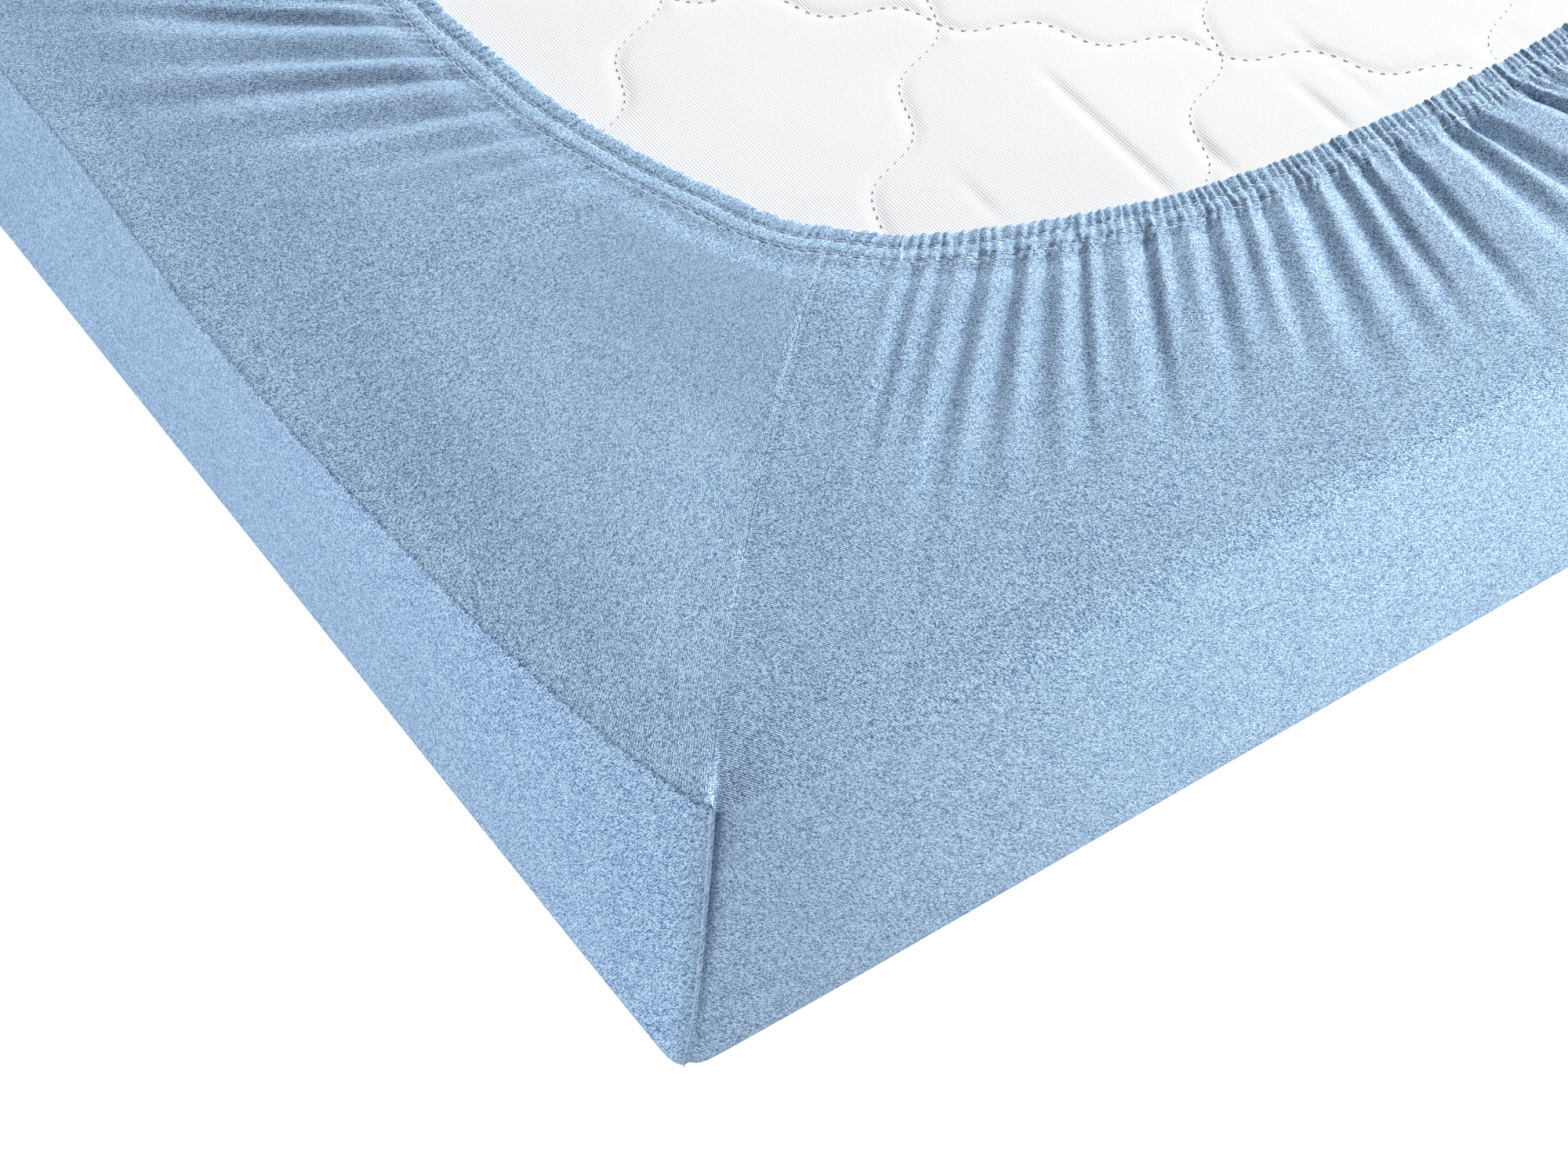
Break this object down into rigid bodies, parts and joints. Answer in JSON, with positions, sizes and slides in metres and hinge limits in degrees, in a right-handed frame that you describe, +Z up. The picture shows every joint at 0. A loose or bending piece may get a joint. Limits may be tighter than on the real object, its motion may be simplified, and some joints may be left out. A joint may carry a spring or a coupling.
{
  "type": "fitted sheet on mattress",
  "caption": "Jersey fitted sheet drawn over a mattress lying underside up, its gathered elastic hem folded over the edges round an oval opening.",
  "frame": {"origin": "on the ground under the middle of the sheet's outer box", "axes": "+Y along the mattress's length, +X across its width, +Z up; the corner that the picture shows is at -X, -Y"},
  "size_m": [0.9122, 2.0046, 0.1349],
  "materials": {
    "jersey": "fine pale-blue heathered cotton jersey, matt with a slight bloom",
    "mattress_cover": "white quilted damask knit"
  },
  "bodies": {
    "root": {"fitted_sheet": "jersey", "mattress": "mattress_cover"}
  },
  "joints": []
}
